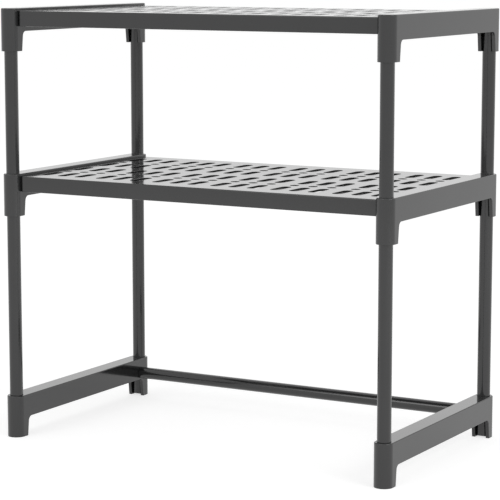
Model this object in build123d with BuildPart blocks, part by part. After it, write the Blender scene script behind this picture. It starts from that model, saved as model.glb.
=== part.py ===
from build123d import *
import os

# Microwave rack. X runs across the rack, Y from front to back, Z up.
# The origin is on the counter, under the middle of the rack. Sizes are in millimetres.

# Overall size, and the upper edge of the middle side frames
rack_width = 520.0
rack_depth = 300.0
rack_height = 520.0
middle_level = 322.5

# Steel tube of the posts and of the rear crossbar
post_diameter = 16.0
bar_diameter = 15.0
tube_wall = 0.8

# Side frame: an upside-down channel with a hollow leg at each end
frame_width = 22.5
frame_height = 51.0
rail_height = 27.5
frame_wall = 2.2
foot_depth = 19.0
leg_root_depth = 21.5
leg_fillet = 6.0
top_edge_chamfer = 0.8
channel_rib = 1.6
channel_rib_pitch = 48.0
channel_rib_setback = 3.0

# Sockets in the side frame, which hold the posts. Their bores run through the legs, and a slot
# in each leg, narrower than the post, lets it show.
socket_wall = 2.0
socket_floor = 2.2
leg_slot = 14.0
post_stop = 2.0
post_stop_width = 6.0
post_clearance = 0.15

# Cross-shaped plugs: the joiner inside two posts that meet in a middle side frame,
# and the spigots on the base frames that the crossbar is pushed over
plug_web = 1.8
plug_clearance = 0.1
joiner_length = 48.0
spigot_length = 16.0

# Shelf: a moulded tray with its rim turned down
shelf_drop = 3.0
shelf_inset = 11.0
shelf_end_clearance = 0.3
shelf_skin = 2.6
shelf_wall = 2.4
shelf_corner = 2.0
shelf_edge_chamfer = 0.8
apron_height = 18.5
shelf_rib = 2.0
shelf_rib_depth = 10.0

# Slots of the shelf: groups of columns, and a small drain hole between two slots
slot_columns = 3
slot_width = 12.0
slot_pitch = 24.2
slot_group_pitch = 79.0
end_land = 6.0
front_land = 25.0
middle_land = 20.0
drain_land = 28.0
drain_hole = 11.0
drain_hole_sides = 6

# Hooks at the ends of a shelf, which drop over the sills of windows in its side frames
hook_width = 24.0
hook_neck = 4.0
hook_drop = 5.0
hook_thickness = 2.5
hook_inset = 49.0
hook_clearance = 0.3
window_above_apron_edge = 6.5

# Rear crossbar
bar_from_back = 24.0
bar_drop = 18.5
bar_end_clearance = 0.2

post_radius = post_diameter / 2
post_bore = post_radius + post_clearance
post_inner = post_radius - tube_wall
post_x = (rack_width - frame_width) / 2
post_y = (rack_depth - frame_width) / 2
inner_face_x = rack_width / 2 - frame_width

base_seat = socket_floor
middle_stop = middle_level - rail_height / 2
top_seat = rack_height - frame_wall

shelf_length = 2 * (inner_face_x - shelf_end_clearance)
shelf_depth = rack_depth - 2 * shelf_inset
hook_y = shelf_depth / 2 - hook_inset

bar_y = rack_depth / 2 - bar_from_back
bar_level = frame_height - bar_drop
bar_inner = bar_diameter / 2 - tube_wall


def post_axes(x):
    """The front and rear post axes of one side, in plan."""
    return Locations((x, -post_y), (x, post_y))


def hook_axes(level):
    """Where the hooks of the shelf between the side frames at this level cross the frames' inner
    walls, seen along the rack: the middle of each window's sill."""
    sill = level - shelf_drop - apron_height + window_above_apron_edge
    return Locations((-hook_y, sill), (hook_y, sill))


def cross_plug(radius):
    """The section of a plug that fits a tube: two crossed webs, rounded where they meet it."""
    with BuildSketch() as plug:
        Rectangle(2 * radius, plug_web)
        Rectangle(plug_web, 2 * radius)
        Circle(radius, mode=Mode.INTERSECT)
    return plug.sketch


def frame_shell(side, top):
    """The moulding that all side frames share: channel, legs and ribs, its sockets not yet bored.
    side is -1 on the left and 1 on the right, and top is the height of its upper edge."""
    x = side * post_x
    underside = top - frame_height
    rail_bottom = top - rail_height
    with BuildPart() as shell:
        # Outer form, rounded in plan about each post
        with BuildSketch(Plane.XY.offset(underside)):
            with Locations((x, 0)):
                SlotOverall(rack_depth, frame_width, rotation=90)
        extrude(amount=frame_height)
        chamfer(shell.faces().sort_by(Axis.Z)[-1].edges(), top_edge_chamfer)

        # Channel between the two sockets, open below
        with BuildSketch(Plane.XY.offset(underside)):
            with Locations((x, 0)):
                Rectangle(frame_width - 2 * frame_wall, 2 * (post_y - post_bore - socket_wall))
        extrude(amount=frame_height - frame_wall, mode=Mode.SUBTRACT)

        # Slots of the legs, towards each other
        with BuildSketch(Plane.XY.offset(underside)):
            with Locations((x, 0)):
                Rectangle(leg_slot, 2 * post_y)
        extrude(amount=frame_height - rail_height, mode=Mode.SUBTRACT)

        # Opening between the legs, which taper towards their feet
        foot_y = rack_depth / 2 - foot_depth
        root_y = rack_depth / 2 - leg_root_depth
        with BuildSketch(Plane.YZ.offset(x)) as gap:
            with BuildLine():
                Polyline(
                    (-foot_y, underside),
                    (-root_y, rail_bottom),
                    (root_y, rail_bottom),
                    (foot_y, underside),
                    close=True,
                )
            make_face()
            fillet(gap.vertices().group_by(Axis.Y)[-1], leg_fillet)
        extrude(amount=frame_width, both=True, mode=Mode.SUBTRACT)

        # Cross ribs, which stiffen the channel between the places of the shelf's hooks
        rib_count = int(2 * (hook_y - hook_width / 2) // channel_rib_pitch)
        with BuildSketch(Plane.XY.offset(rail_bottom + channel_rib_setback)):
            with Locations((x, 0)):
                with GridLocations(0, channel_rib_pitch, 1, rib_count):
                    Rectangle(frame_width - frame_wall, channel_rib)
        extrude(amount=rail_height - channel_rib_setback - frame_wall / 2)
    return shell.part


def base_frame(side):
    """A foot frame: posts stand on the floors of its sockets, close to the counter, and a spigot on
    its inner wall takes the crossbar."""
    shell = frame_shell(side, frame_height)
    spigot = cross_plug(bar_inner - plug_clearance)
    with BuildPart() as frame:
        add(shell)
        with BuildSketch(Plane.XY.offset(base_seat)):
            with post_axes(side * post_x):
                Circle(post_bore)
        extrude(amount=frame_height - base_seat, mode=Mode.SUBTRACT)

        with BuildSketch(Plane.YZ.offset(side * (inner_face_x + frame_wall / 2))):
            with Locations((bar_y, bar_level)):
                add(spigot)
        extrude(amount=-side * (spigot_length + frame_wall / 2))
    return frame.part


def shelf_frame(side, level, through):
    """A side frame that carries a shelf. With through, posts enter its sockets from both sides
    and meet at lugs. Without, the sockets are closed at the top and take a post from below."""
    underside = level - frame_height
    shell = frame_shell(side, level)
    with BuildPart() as frame:
        add(shell)

        # Windows in the inner wall, tall enough for a hook to pass before it drops
        window_height = hook_neck + hook_drop + 2 * hook_clearance
        with BuildSketch(Plane.YZ.offset(side * inner_face_x)):
            with hook_axes(level):
                Rectangle(hook_width + 2 * hook_clearance, window_height, align=(Align.CENTER, Align.MIN))
        extrude(amount=side * frame_wall, mode=Mode.SUBTRACT)

        # Bores of the sockets
        bore_top = level if through else level - frame_wall
        with BuildSketch(Plane.XY.offset(underside)):
            with post_axes(side * post_x):
                Circle(post_bore)
        extrude(amount=bore_top - underside, mode=Mode.SUBTRACT)

        # Lugs half way up a through bore, which no post passes but the joiner does
        if through:
            with BuildSketch(Plane.XY.offset(middle_stop - post_stop / 2)):
                with post_axes(side * post_x):
                    Rectangle(2 * post_bore + frame_wall, post_stop_width)
                    Rectangle(2 * post_inner, post_stop_width, mode=Mode.SUBTRACT)
            extrude(amount=post_stop)
    return frame.part


def post(x, y, low, high):
    """A steel tube standing between two heights."""
    with BuildPart() as tube:
        with BuildSketch(Plane.XY.offset(low)):
            with Locations((x, y)):
                Circle(post_radius)
                Circle(post_inner, mode=Mode.SUBTRACT)
        extrude(amount=high - low)
    return tube.part


def post_joiner(x, y):
    """A moulded plug that passes between the lugs of a middle frame into both posts."""
    plug = cross_plug(post_inner - plug_clearance)
    with BuildPart() as joiner:
        with BuildSketch(Plane.XY.offset(middle_stop - joiner_length / 2)):
            with Locations((x, y)):
                add(plug)
        extrude(amount=joiner_length)
    return joiner.part


def shelf(level):
    """A perforated tray between the two side frames whose upper edges are at level."""
    top = level - shelf_drop
    with BuildPart() as tray:
        # Outer form and its hollow underside
        with BuildSketch(Plane.XY.offset(top - apron_height)):
            chamfer(Rectangle(shelf_length, shelf_depth).vertices(), shelf_corner)
        extrude(amount=apron_height)
        chamfer(tray.faces().sort_by(Axis.Z)[-1].edges(), shelf_edge_chamfer)
        with BuildSketch(Plane.XY.offset(top - apron_height)):
            Rectangle(shelf_length - 2 * shelf_wall, shelf_depth - 2 * shelf_wall)
        extrude(amount=apron_height - shelf_skin, mode=Mode.SUBTRACT)

        # Slots and drain holes through the skin
        slot_length = (shelf_depth / 2 - front_land - middle_land / 2 - drain_land) / 2
        inner_row = (middle_land + slot_length) / 2
        drain_row = middle_land / 2 + slot_length + drain_land / 2
        outer_row = inner_row + slot_length + drain_land
        group_width = (slot_columns - 1) * slot_pitch + slot_width
        free_length = shelf_length - 2 * shelf_wall - 2 * end_land - group_width
        slot_groups = 1 + int(free_length // slot_group_pitch)
        with BuildSketch(Plane.XY.offset(top - shelf_skin)):
            with GridLocations(slot_group_pitch, 0, slot_groups, 1):
                with GridLocations(slot_pitch, 0, slot_columns, 1):
                    with Locations((0, -outer_row), (0, -inner_row), (0, inner_row), (0, outer_row)):
                        Rectangle(slot_width, slot_length)
                    with Locations((0, -drain_row), (0, drain_row)):
                        RegularPolygon(drain_hole / 2, drain_hole_sides)
        extrude(amount=shelf_skin, mode=Mode.SUBTRACT)

        # Ribs under the wide lands
        with BuildSketch(Plane.XY.offset(top - shelf_skin - shelf_rib_depth)):
            with GridLocations(slot_group_pitch, 0, slot_groups - 1, 1):
                Rectangle(shelf_rib, shelf_depth - shelf_wall)
            Rectangle(shelf_length - shelf_wall, shelf_rib)
        extrude(amount=shelf_rib_depth + shelf_skin / 2)

        # Hooks at both ends: a neck on the window's sill, and a tongue down behind the wall
        tongue_x = inner_face_x + frame_wall + hook_clearance
        for side in (-1, 1):
            with BuildSketch(Plane.YZ.offset(side * (shelf_length / 2 - shelf_wall / 2))):
                with hook_axes(level):
                    Rectangle(hook_width, hook_neck, align=(Align.CENTER, Align.MIN))
            extrude(amount=side * (tongue_x + hook_thickness - shelf_length / 2 + shelf_wall / 2))
            with BuildSketch(Plane.YZ.offset(side * tongue_x)):
                with hook_axes(level):
                    with Locations((0, -hook_drop)):
                        Rectangle(hook_width, hook_drop + hook_neck, align=(Align.CENTER, Align.MIN))
            extrude(amount=side * hook_thickness)
    return tray.part


def rear_crossbar():
    """The tube between the two base frames, over their spigots."""
    length = 2 * (inner_face_x - bar_end_clearance)
    with BuildPart() as bar:
        with BuildSketch(Plane.YZ.offset(-length / 2)):
            with Locations((bar_y, bar_level)):
                Circle(bar_diameter / 2)
                Circle(bar_inner, mode=Mode.SUBTRACT)
        extrude(amount=length)
    return bar.part


pieces = {
    "middle_shelf": shelf(middle_level),
    "top_shelf": shelf(rack_height),
    "rear_crossbar": rear_crossbar(),
}
for side, hand in ((-1, "left"), (1, "right")):
    pieces[f"base_frame_{hand}"] = base_frame(side)
    pieces[f"middle_frame_{hand}"] = shelf_frame(side, middle_level, through=True)
    pieces[f"top_frame_{hand}"] = shelf_frame(side, rack_height, through=False)
    for y, end in ((-post_y, "front"), (post_y, "rear")):
        x = side * post_x
        pieces[f"lower_post_{end}_{hand}"] = post(x, y, base_seat, middle_stop - post_stop / 2)
        pieces[f"upper_post_{end}_{hand}"] = post(x, y, middle_stop + post_stop / 2, top_seat)
        pieces[f"post_joiner_{end}_{hand}"] = post_joiner(x, y)

os.makedirs("parts", exist_ok=True)
for name, piece in pieces.items():
    piece.label = name
    export_step(piece, f"parts/{name}.step")
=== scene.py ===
import bmesh
import bpy
import math
import numpy as np
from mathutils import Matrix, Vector


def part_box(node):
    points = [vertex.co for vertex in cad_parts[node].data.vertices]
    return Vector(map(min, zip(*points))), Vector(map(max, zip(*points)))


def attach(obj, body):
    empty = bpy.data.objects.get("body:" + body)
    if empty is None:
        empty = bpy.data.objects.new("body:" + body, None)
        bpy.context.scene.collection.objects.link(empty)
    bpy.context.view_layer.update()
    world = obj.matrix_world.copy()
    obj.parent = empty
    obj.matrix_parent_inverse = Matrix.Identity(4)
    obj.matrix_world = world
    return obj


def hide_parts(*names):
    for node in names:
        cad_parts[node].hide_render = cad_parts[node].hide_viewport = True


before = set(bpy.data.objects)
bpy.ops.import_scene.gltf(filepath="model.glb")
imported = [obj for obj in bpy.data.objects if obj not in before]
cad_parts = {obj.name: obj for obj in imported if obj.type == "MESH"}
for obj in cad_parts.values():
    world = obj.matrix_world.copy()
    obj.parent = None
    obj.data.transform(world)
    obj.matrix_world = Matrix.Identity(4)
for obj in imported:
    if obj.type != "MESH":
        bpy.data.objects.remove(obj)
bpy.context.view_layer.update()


# Side frames: six injection mouldings in black plastic, an upside-down channel with a hollow leg at each
# end, their edges slightly rounded by the mould. The base pair stands on the counter, and the others are
# pushed on the posts. The mould was polished, so the skin is smooth with a faint flow and fine grain.
MM = 0.001
SIDES = ("left", "right")


class Shade:
    """A socket in a material's or the world's nodes, or none yet. Sums and products of it make Math nodes."""

    def __init__(self, tree, socket=None):
        self.tree = tree
        self.socket = socket

    def node(self, kind, settings, output, values):
        """Any other node: its type, its settings, which output is wanted, and the values or links of its
        sockets, by place or by name."""
        made = self.tree.nodes.new(kind)
        for name, setting in settings.items():
            setattr(made, name, setting)
        for key, value in values.items():
            if isinstance(value, Shade):
                self.tree.links.new(value.socket, made.inputs[key])
            else:
                made.inputs[key].default_value = value
        return Shade(self.tree, made.outputs[output])

    def math(self, operation, other):
        return self.node("ShaderNodeMath", {"operation": operation}, 0, {0: self, 1: other})

    def __add__(self, other):
        return self.math("ADD", other)

    def __mul__(self, other):
        return self.math("MULTIPLY", other)

    __radd__ = __add__
    __rmul__ = __mul__


def finish_of(name):
    """A new material: its shader, and the Object coordinates that its patterns read."""
    material = bpy.data.materials.new(name)
    material.use_nodes = True
    tree = material.node_tree
    place = Shade(tree).node("ShaderNodeTexCoord", {}, "Object", {})
    return material, tree.nodes["Principled BSDF"], place


def noise(place, scale, detail):
    """A cloud of values from 0 to 1, whose lumps are about 1 / scale metres."""
    return place.node("ShaderNodeTexNoise", {}, 0, {"Vector": place, "Scale": scale, "Detail": detail})


def between(mask, low, high):
    """The colour low where the mask is 0, and high where it is 1."""
    factor, first_colour, second_colour, colour_out = 0, 6, 7, 2
    values = {factor: mask, first_colour: (*low, 1), second_colour: (*high, 1)}
    return mask.node("ShaderNodeMix", {"data_type": "RGBA"}, colour_out, values)


black_index = 1.6


def feed(shader, colour, roughness, height, depth):
    """Colour, roughness and a bump this many metres deep, into a shader, with the index of refraction of a
    filled plastic or a powder coat."""
    bump = height.node("ShaderNodeBump", {}, 0, {"Strength": 1.0, "Distance": depth, "Height": height})
    links = colour.tree.links
    links.new(colour.socket, shader.inputs["Base Color"])
    links.new(roughness.socket, shader.inputs["Roughness"])
    links.new(bump.socket, shader.inputs["Normal"])
    shader.inputs["IOR"].default_value = black_index


def values_of(items, field, width, kind=float):
    """One field of all points, edges or corners of a mesh, as rows of so many values."""
    values = np.empty(width * len(items), kind)
    items.foreach_get(field, values)
    return values.reshape(-1, width)


def node_surface(name):
    """The points and triangles of a CAD node."""
    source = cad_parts[name].data
    corners = values_of(source.loops, "vertex_index", 1, int)
    return values_of(source.vertices, "co", 3), [corners.reshape(-1, 3)]


same_point, same_plane, corner_angle = 0.002 * MM, math.radians(0.3), math.radians(40)
largest_radius, edge_segments = 1.0 * MM, 3


def solid(name, surfaces, material, node, radius_at=None):
    """One piece, which stands for a CAD node, from several sets of points and faces. Coincident points are
    merged, and faces turned outwards. radius_at gives the radius at each point, up to the largest: with it,
    triangles in one plane are joined, and each sharp edge is rounded to the smaller radius of its ends.
    Normals follow the larger faces, so that a flat face stays flat beside a rounded edge."""
    starts = np.cumsum([0] + [len(points) for points, _ in surfaces])
    faces = [(part + start).tolist() for start, (_, parts) in zip(starts, surfaces) for part in parts]
    mesh = bpy.data.meshes.new(name)
    mesh.from_pydata(np.vstack([points for points, _ in surfaces]), [], sum(faces, []))
    shell = bmesh.new()
    shell.from_mesh(mesh)
    bmesh.ops.remove_doubles(shell, verts=shell.verts, dist=same_point)
    if radius_at:
        bmesh.ops.dissolve_limit(shell, angle_limit=same_plane, verts=shell.verts, edges=shell.edges)
    bmesh.ops.recalc_face_normals(shell, faces=shell.faces)
    shell.to_mesh(mesh)
    shell.free()
    mesh.shade_smooth()
    mesh.set_sharp_from_angle(angle=corner_angle)
    piece = bpy.data.objects.new(name, mesh)
    bpy.context.scene.collection.objects.link(piece)
    piece.data.materials.append(material)
    if radius_at:
        ends = values_of(mesh.edges, "vertices", 2, int)
        sharp = values_of(mesh.edges, "use_edge_sharp", 1, bool)[:, 0]
        radius = radius_at(values_of(mesh.vertices, "co", 3))[ends].min(axis=1)
        weights = mesh.attributes.new("bevel_weight_edge", "FLOAT", "EDGE")
        weights.data.foreach_set("value", np.where(sharp, radius / largest_radius, 0.0))
        edges = piece.modifiers.new("rounded_edges", "BEVEL")
        edges.width = largest_radius
        edges.segments = edge_segments
        edges.limit_method = "WEIGHT"
    normals = piece.modifiers.new("normals", "WEIGHTED_NORMAL")
    normals.keep_sharp = True
    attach(piece, "root")
    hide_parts(node)


post_bore, frame_half_width, rail_height, foot_depth = 8.15 * MM, 11.25 * MM, 27.5 * MM, 19.0 * MM
frame_edge, touch = 0.4 * MM, 0.05 * MM


def mould_radius(name, hand):
    """How far the edges of a side frame are rounded: most at the upper mouths of its sockets and round the
    opening between its legs, not at all inside the sockets, where the posts fit, and a little elsewhere."""
    low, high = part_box(name)
    post_low, post_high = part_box(f"upper_post_rear_{hand}")
    axis = (post_low + post_high) / 2

    def radius_at(points):
        x, y, z = points.T
        from_middle, from_centre = np.abs(x - axis.x), np.abs(y)
        at_socket = np.hypot(from_middle, from_centre - axis.y) < post_bore + 2 * touch
        above_foot = z > low.z + touch
        in_socket = at_socket & above_foot & (z < high.z - touch)
        mouth = at_socket & above_foot & ~in_socket
        between_legs = (from_centre < high.y - foot_depth + touch) & (z < high.z - rail_height + touch)
        opening = between_legs & (np.abs(from_middle - frame_half_width) < touch) & ~in_socket
        return np.select([in_socket, mouth | opening], [0.0, largest_radius], frame_edge)

    return radius_at


frame_black, shader, place = finish_of("frame_black")
flow = noise(place, 35.0, 3.0)
grain, waviness = noise(place, 900.0, 2.0), noise(place, 7.0, 0.0)
feed(
    shader,
    colour=between(flow, (0.017, 0.0173, 0.0177), (0.022, 0.0223, 0.0228)),
    roughness=flow * 0.04 + 0.08,
    height=grain * 0.002 + waviness * 0.5,
    depth=1.0 * MM,
)
for storey in ("base", "middle", "top"):
    for hand in SIDES:
        name = f"{storey}_frame_{hand}"
        surface, radius_at = node_surface(name), mould_radius(name, hand)
        solid(f"{storey}_moulding_{hand}", [surface], frame_black, name, radius_at)


# Posts and rear crossbar: drawn steel tubes with a powder coat in the same black. The posts are pushed into
# the frames' sockets, and the crossbar over a spigot on each base frame.
post_radius, crossbar_radius = 8.0 * MM, 7.5 * MM
tube_wall, tube_edge, tube_sides = 0.8 * MM, 0.25 * MM, 64


def wrapped(points):
    """A grid of points, closed both ways like a ring, as points and quads."""
    rows, columns = points.shape[:2]
    index = np.arange(rows * columns).reshape(rows, columns)
    across, down = np.roll(index, -1, axis=1), np.roll(index, -1, axis=0)
    quads = np.stack((index, across, np.roll(down, -1, axis=1), down), axis=-1)
    return points.reshape(-1, 3), [quads.reshape(-1, 4)]


def tube(name, radius):
    """A tube in the middle of a CAD node's box, from end to end of its longest side. The section of its wall,
    a thin rectangle with cut corners, is turned about the box's middle line:
    point = start + along * line + radius * (cosine * side + sine * up)."""
    low, high = (np.array(corner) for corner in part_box(name))
    line = np.eye(3)[np.argmax(high - low)]
    start = np.where(line > 0, low, (low + high) / 2)
    length = (high - low) @ line
    side = np.roll(line, 1)
    up = np.cross(line, side)
    inner = radius - tube_wall
    wall = np.array(
        [
            (tube_edge, radius), (length - tube_edge, radius),
            (length, radius - tube_edge), (length, inner + tube_edge),
            (length - tube_edge, inner), (tube_edge, inner),
            (0, inner + tube_edge), (0, radius - tube_edge),
        ]
    )
    turn = np.linspace(0, 2 * np.pi, tube_sides, endpoint=False)
    ray = np.cos(turn)[:, None] * side + np.sin(turn)[:, None] * up
    return wrapped(start + wall[:, None, :1] * line + wall[:, None, 1:] * ray)


coated_steel, shader, place = finish_of("coated_steel")
flow = noise(place, 60.0, 2.0)
feed(
    shader,
    colour=between(flow, (0.015, 0.0153, 0.0157), (0.020, 0.0203, 0.0208)),
    roughness=flow * 0.06 + 0.11,
    height=noise(place, 450.0, 2.0),
    depth=0.004 * MM,
)
for storey in ("lower", "upper"):
    for end in ("front", "rear"):
        for hand in SIDES:
            name = f"{storey}_post_{end}_{hand}"
            solid(f"{storey}_tube_{end}_{hand}", [tube(name, post_radius)], coated_steel, name)
name = "rear_crossbar"
solid("rear_tube", [tube(name, crossbar_radius)], coated_steel, name)


# Post joiners: cross-shaped plugs, moulded in matt black plastic. Each is pushed half into the lower and half
# into the upper post, where these meet in a middle frame.
plug_edge = 0.2 * MM

plug_black, shader, place = finish_of("plug_black")
flow = noise(place, 80.0, 2.0)
feed(
    shader,
    colour=between(flow, (0.018, 0.018, 0.0185), (0.024, 0.024, 0.0245)),
    roughness=flow * 0.1 + 0.5,
    height=noise(place, 600.0, 2.0),
    depth=0.01 * MM,
)
for end in ("front", "rear"):
    for hand in SIDES:
        name = f"post_joiner_{end}_{hand}"
        solid(
            f"joiner_plug_{end}_{hand}", [node_surface(name)], plug_black, name,
            lambda points: np.full(len(points), plug_edge),
        )


# Shelves: two moulded trays in black plastic with a polished skin, their rims turned down. Groups of slots
# run from front to back, with a small drain hole between two slots. Ribs stiffen them from below, and hooks
# at both ends drop into windows in the side frames.
shelf_length, shelf_depth = 474.4 * MM, 278.0 * MM
shelf_skin, shelf_wall, apron_height, border = 2.6 * MM, 2.4 * MM, 18.5 * MM, 4.0 * MM
plan_corner, top_round, low_round, inner_round = 2.0 * MM, 1.2 * MM, 0.5 * MM, 0.8 * MM
slot_radius, slot_straight, drain_radius = 6.0 * MM, 13.0 * MM, 5.5 * MM
slot_round, slot_chamfer = 0.3 * MM, 0.3 * MM
group_pitch, slot_pitch, band_y, row_pitch = 79.0 * MM, 24.2 * MM, 62.0 * MM, 33.0 * MM
corner_steps, straight_steps, bend_points, small_bend_points = 6, 2, 5, 3

column_x = (np.arange(-2.5, 3)[:, None] * group_pitch + np.arange(-1, 2) * slot_pitch).ravel()
row_y = (np.array([-1, 1])[:, None] * band_y + np.arange(-1, 2) * row_pitch).ravel()
has_slots = np.array([1, 0, 1, 1, 0, 1])
row_reach = np.where(has_slots, slot_radius + slot_straight, drain_radius)
row_steps = corner_steps + has_slots * straight_steps


def edges_between(middles, reach, half):
    """The lines half way between the edges of neighbouring openings, which lie reach from their middles,
    and the two outermost lines."""
    return np.concatenate(([-half], ((middles + reach)[:-1] + (middles - reach)[1:]) / 2, [half]))


half_x, half_y = shelf_length / 2 - border, shelf_depth / 2 - border
column_edges = edges_between(column_x, slot_radius, half_x)
row_edges = edges_between(row_y, row_reach, half_y)


def banded(points):
    """A stack of closed rings of points, or several such stacks, as points and the quads between rings."""
    index = np.arange(points[..., 0].size).reshape(points.shape[:-1])
    turned = np.roll(index, -1, axis=-1)
    rings = (index[..., :-1, :], turned[..., :-1, :], turned[..., 1:, :], index[..., 1:, :])
    return points.reshape(-1, 3), [np.stack(rings, axis=-1).reshape(-1, 4)]


def around(steps):
    """The steps round an opening from its lower left, at 225 degrees, with so many on each straight: their
    angles, how far along the straight they lie, from -1 to 1, and the same steps round the rectangle about
    the opening, as fractions of its width and height."""
    quarter = np.arange(corner_steps) / corner_steps * np.pi / 2
    half = quarter[: corner_steps // 2]
    ones = np.ones(len(half))
    rise = np.arange(steps) / max(steps, 1) * 2 - 1
    side = np.concatenate((half - np.pi / 4, np.zeros(steps), half))
    climb = np.concatenate((-ones, rise, ones))
    angle = np.concatenate((quarter + 1.25 * np.pi, side, quarter + 0.25 * np.pi, side + np.pi))
    along = np.concatenate((-np.ones(corner_steps), climb, np.ones(corner_steps), -climb))
    across = np.arange(corner_steps) / corner_steps
    up = np.arange(len(side)) / len(side)
    u = np.concatenate((across, np.ones(len(side)), 1 - across, np.zeros(len(side))))
    v = np.concatenate((np.zeros(corner_steps), up, np.ones(corner_steps), 1 - up))
    return angle, along, u, v


def openings(rows, radius, straight, steps, top):
    """The skin about each opening of some rows: rings from the rectangle about it below, through the
    opening with its rounded upper edge, and out to the same rectangle above. A ring round the opening is
    centre + (radius + offset) * direction + straight * along."""
    angle, along, u, v = around(steps)
    column, row = (part.ravel() for part in np.meshgrid(np.arange(len(column_x)), rows))
    cell_x = column_edges[column][:, None] + u * np.diff(column_edges)[column][:, None]
    cell_y = row_edges[row][:, None] + v * np.diff(row_edges)[row][:, None]
    half_way = slot_round * (1 - np.sin(np.pi / 4))
    offset = np.array([slot_chamfer, 0, 0, half_way, slot_round])[:, None]
    height = np.array([-shelf_skin, -shelf_skin, slot_chamfer - shelf_skin, -slot_round, -half_way, 0, 0])
    hole_x = column_x[column][:, None, None] + (radius + offset) * np.cos(angle)
    hole_y = row_y[row][:, None, None] + (radius + offset) * np.sin(angle) + straight * along
    x = np.concatenate((cell_x[:, None], hole_x, cell_x[:, None]), axis=1)
    y = np.concatenate((cell_y[:, None], hole_y, cell_y[:, None]), axis=1)
    z = np.broadcast_to(top + height[:, None], x.shape)
    return banded(np.stack((x, y, z), axis=-1))


def line_round(edges, steps):
    """The border's points along one side: so many steps in each cell between two edges, and the last edge."""
    cells = zip(edges, edges[1:], steps)
    line = [np.linspace(start, end, count, endpoint=False) for start, end, count in cells]
    return np.append(np.concatenate(line), edges[-1])


def arc(centre, radius, start, end, count):
    """Points from one angle, in degrees, to another on a circle: centre + radius * direction."""
    angle = np.radians(np.linspace(start, end, count))
    return centre + radius * np.stack((np.cos(angle), np.sin(angle)), axis=1)


def rim(top):
    """The tray's edge: a section of points (inset, height) from the skin's border over the rounded edge, down
    the apron, under it and up inside, carried round the border. At inset s from the outer face a point is
    anchor + spread * max(corner - s, 0) - pull * max(s - corner, 0)."""
    x_line = line_round(column_edges, np.full(len(column_x), corner_steps))
    y_line = line_round(row_edges, row_steps)
    anchor, spread, pull = [], [], []
    for quarter, line in enumerate((x_line, y_line, x_line, y_line)):
        turn = quarter * np.pi / 2
        ahead = np.array((np.cos(turn), np.sin(turn)))
        out = np.array((np.sin(turn), -np.cos(turn)))
        reach, far = (half_x, half_y) if quarter % 2 == 0 else (half_y, half_x)
        side = out * (far + border - plan_corner)
        corner = ahead * (reach + border - plan_corner) + side
        anchor += [line[:, None] * ahead + side, np.tile(corner, (bend_points, 1))]
        spread += [np.tile(out, (len(line), 1)), arc((0, 0), 1, 0, 90, bend_points) @ (out, ahead)]
        pull += [np.tile(out, (len(line), 1)), np.tile(out + ahead, (bend_points, 1))]
    anchor, spread, pull = (np.concatenate(part) for part in (anchor, spread, pull))
    bottom, inside = top - apron_height, top - shelf_skin
    section = np.concatenate(
        (
            [(border, top)],
            arc((top_round, top - top_round), top_round, 90, 180, bend_points),
            arc((low_round, bottom + low_round), low_round, 180, 270, small_bend_points),
            arc((shelf_wall - low_round, bottom + low_round), low_round, 270, 360, small_bend_points),
            arc((shelf_wall + inner_round, inside - inner_round), inner_round, 180, 90, small_bend_points),
            [(border, inside)],
        )
    )
    inset, height = section.T[:, :, None, None]
    plan = anchor + spread * np.maximum(plan_corner - inset, 0) - pull * np.maximum(inset - plan_corner, 0)
    height = np.broadcast_to(height, plan.shape[:2] + (1,))
    return banded(np.concatenate((plan, height), axis=2))


def prism(outline, start, end):
    """An outline of points (across, height) carried from start to end, two points at height zero, with
    both ends closed. Across is to the right of the way from start to end."""
    start, end = np.array(start), np.array(end)
    ahead = (end - start) / np.linalg.norm(end - start)
    right = np.array((ahead[1], -ahead[0], 0))
    section = outline[:, :1] * right + outline[:, 1:] * np.array((0, 0, 1))
    points, walls = banded(np.stack((start + section, end + section)))
    first, last = np.arange(len(points)).reshape(2, 1, -1)
    return points, walls + [first[:, ::-1], last]


rib_half, rib_round, rib_top, rib_low = 1.0 * MM, 0.6 * MM, -shelf_skin / 2, -12.6 * MM
rib = np.array(
    [
        (-rib_half, rib_top), (-rib_half, rib_low + rib_round), (rib_round - rib_half, rib_low),
        (rib_half - rib_round, rib_low), (rib_half, rib_low + rib_round), (rib_half, rib_top),
    ]
)
rib_end_x, rib_end_y = (shelf_length - shelf_wall) / 2, (shelf_depth - shelf_wall) / 2
hook_y, hook_half, sill_height = 90.0 * MM, 12.0 * MM, 6.5 * MM
hook_inside, hook_outside = 240.0 * MM, 242.5 * MM
hook_tip, hook_top, hook_round = -5.0 * MM, 4.0 * MM, 0.6 * MM
hook = np.array(
    [
        (rib_end_x, 0), (hook_inside, 0), (hook_inside, hook_tip), (hook_outside, hook_tip),
        (hook_outside, hook_top - hook_round), (hook_outside - hook_round, hook_top), (rib_end_x, hook_top),
    ]
)

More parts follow.
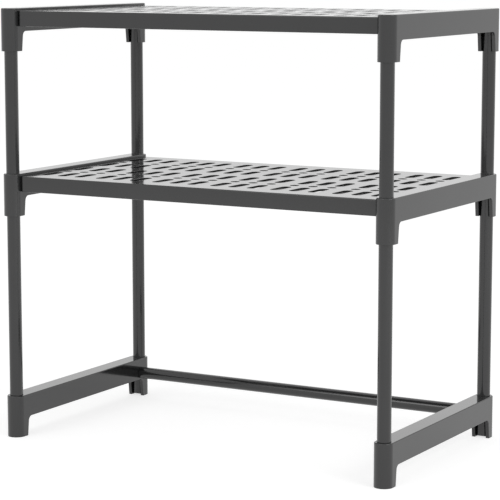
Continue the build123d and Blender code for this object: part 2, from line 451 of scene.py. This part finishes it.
shelf_black, shader, place = finish_of("shelf_black")
flow = noise(place, 25.0, 3.0)
feed(
    shader,
    colour=between(flow, (0.017, 0.0173, 0.0177), (0.022, 0.0223, 0.0228)),
    roughness=flow * 0.05 + 0.08,
    height=noise(place, 300.0, 2.0),
    depth=0.002 * MM,
)
for storey in ("middle", "top"):
    low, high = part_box(f"{storey}_shelf")
    top, sill = high.z, low.z + sill_height
    surfaces = [
        openings(np.flatnonzero(has_slots), slot_radius, slot_straight, straight_steps, top),
        openings(np.flatnonzero(1 - has_slots), drain_radius, 0.0, 0, top),
        rim(top),
        prism(rib, (-rib_end_x, 0, top), (rib_end_x, 0, top)),
    ]
    for x in np.arange(-2, 3) * group_pitch:
        surfaces.append(prism(rib, (x, -rib_end_y, top), (x, rib_end_y, top)))
    for side in (-1, 1):
        for y in (-hook_y, hook_y):
            surfaces.append(prism(hook * (-side, 1), (0, y + hook_half, sill), (0, y - hook_half, sill)))
    solid(f"{storey}_tray", surfaces, shelf_black, f"{storey}_shelf")


# The room: a white floor that keeps the rack's shadow, a white surround, soft studio lamps and the camera,
# which looks slightly down from the right of the front as the photograph's does.
floor_reach, floor_grey, floor_glow, sky_light = 12.0, 0.5, 0.7, 0.6


def seen(tree):
    """1 for the rays that show the surround: the camera's, and those of gloss and of clear things."""
    names = ("Is Camera Ray", "Is Glossy Ray", "Is Transmission Ray")
    direct, gloss, clear = (Shade(tree).node("ShaderNodeLightPath", {}, name, {}) for name in names)
    return direct.math("MAXIMUM", gloss).math("MAXIMUM", clear)


floor_mesh = bpy.data.meshes.new("studio_floor")
corners = [(-1, -1, 0), (1, -1, 0), (1, 1, 0), (-1, 1, 0)]
floor_mesh.from_pydata(np.array(corners) * floor_reach, [], [(0, 1, 2, 3)])
studio_floor = bpy.data.objects.new("studio_floor", floor_mesh)
bpy.context.scene.collection.objects.link(studio_floor)
floor_white, shader, place = finish_of("floor_white")
shader.inputs["Base Color"].default_value = (floor_grey, floor_grey, floor_grey, 1)
shader.inputs["Roughness"].default_value = 0.7
shader.inputs["Specular IOR Level"].default_value = 0.0
shader.inputs["Emission Strength"].default_value = floor_glow
place.tree.links.new(seen(place.tree).socket, shader.inputs["Emission Color"])
studio_floor.data.materials.append(floor_white)

world = bpy.data.worlds.new("studio")
bpy.context.scene.world = world
world.use_nodes = True
background = world.node_tree.nodes["Background"]
background.inputs["Color"].default_value = (1, 1, 1, 1)
strength = seen(world.node_tree) * (1 - sky_light) + sky_light
world.node_tree.links.new(strength.socket, background.inputs["Strength"])


def softbox(name, at, towards, size, power):
    """An area lamp at a point, turned to face another."""
    lamp = bpy.data.lights.new(name, "AREA")
    lamp.shape = "RECTANGLE"
    lamp.size, lamp.size_y = size
    lamp.energy = power
    holder = bpy.data.objects.new(name, lamp)
    bpy.context.scene.collection.objects.link(holder)
    holder.visible_camera = False
    holder.location = at
    holder.rotation_euler = (Vector(towards) - Vector(at)).to_track_quat("-Z", "Y").to_euler()


softbox("right_softbox", at=(2.2, -0.6, 1.3), towards=(0, 0, 0.3), size=(1.4, 1.4), power=20)
softbox("front_softbox", at=(-0.6, -2.4, 1.6), towards=(0, 0, 0.3), size=(1.6, 1.2), power=12)
softbox("rear_softbox", at=(-1.9, 3.0, 1.5), towards=(0, 0, 0.4), size=(4.0, 1.6), power=4)

camera_azimuth, camera_dip = math.radians(29.527), math.radians(8.238)
view = bpy.data.cameras.new("photo_camera")
view.lens = 149.1
view.sensor_width = 36.0
camera = bpy.data.objects.new("photo_camera", view)
bpy.context.scene.collection.objects.link(camera)
camera.location = (1.2199, -2.1535, 0.5880)
camera.rotation_euler = (math.pi / 2 - camera_dip, 0, camera_azimuth)
bpy.context.scene.camera = camera
bpy.context.scene.view_settings.view_transform = "Standard"
